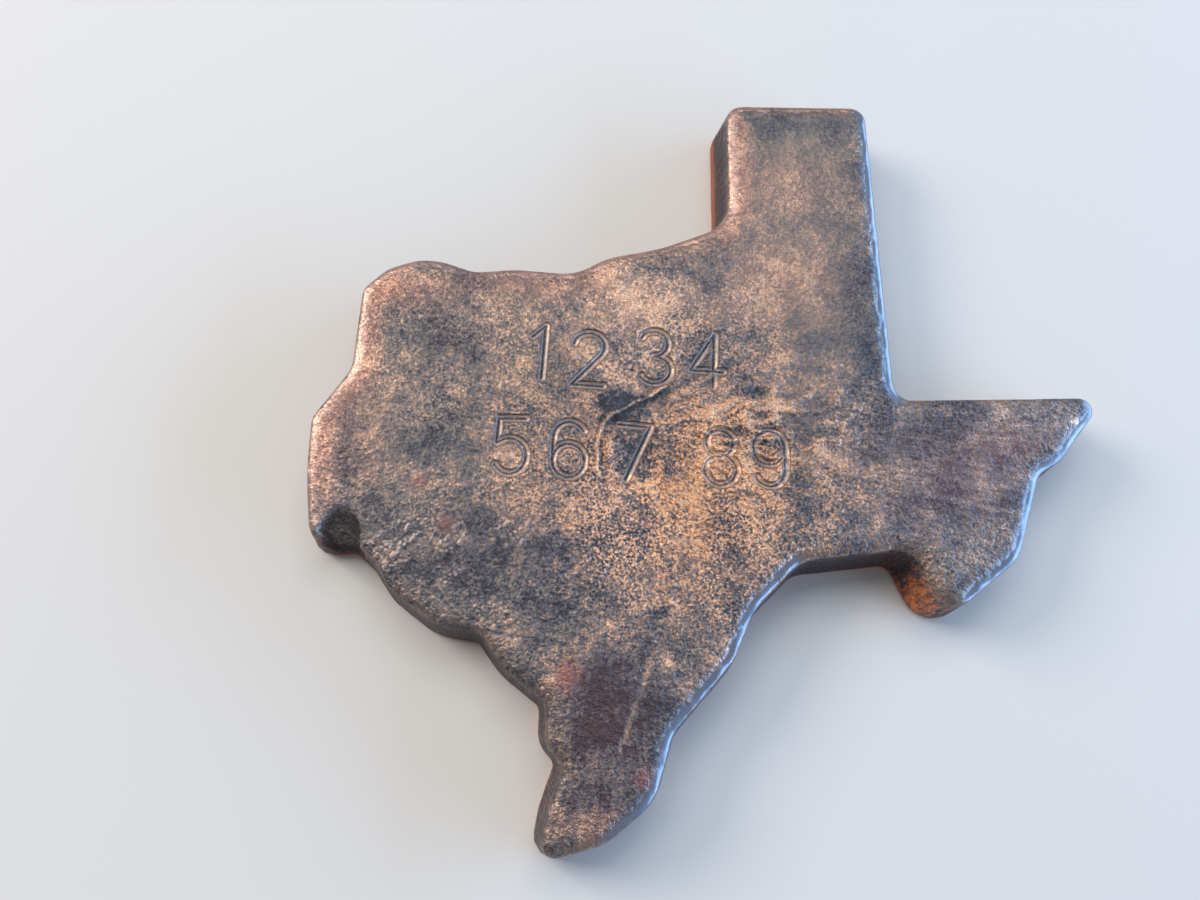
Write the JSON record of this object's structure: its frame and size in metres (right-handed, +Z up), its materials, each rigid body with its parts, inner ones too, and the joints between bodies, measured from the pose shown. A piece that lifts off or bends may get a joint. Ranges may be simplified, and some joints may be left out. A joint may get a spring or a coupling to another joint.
{
  "type": "copper ingot",
  "caption": "Flat cast copper ingot in the mirrored outline of the state of Texas, with a stamped top face.",
  "frame": {"origin": "middle of the base, on the face that the ingot lies on", "axes": "+Z up out of the stamped face, +X towards the long western arm, +Y towards the panhandle"},
  "size_m": [0.0954, 0.0938, 0.0085],
  "materials": {
    "copper": "aged, mottled brown oxide over satin copper"
  },
  "bodies": {
    "root": {"ingot": "copper"}
  },
  "joints": []
}
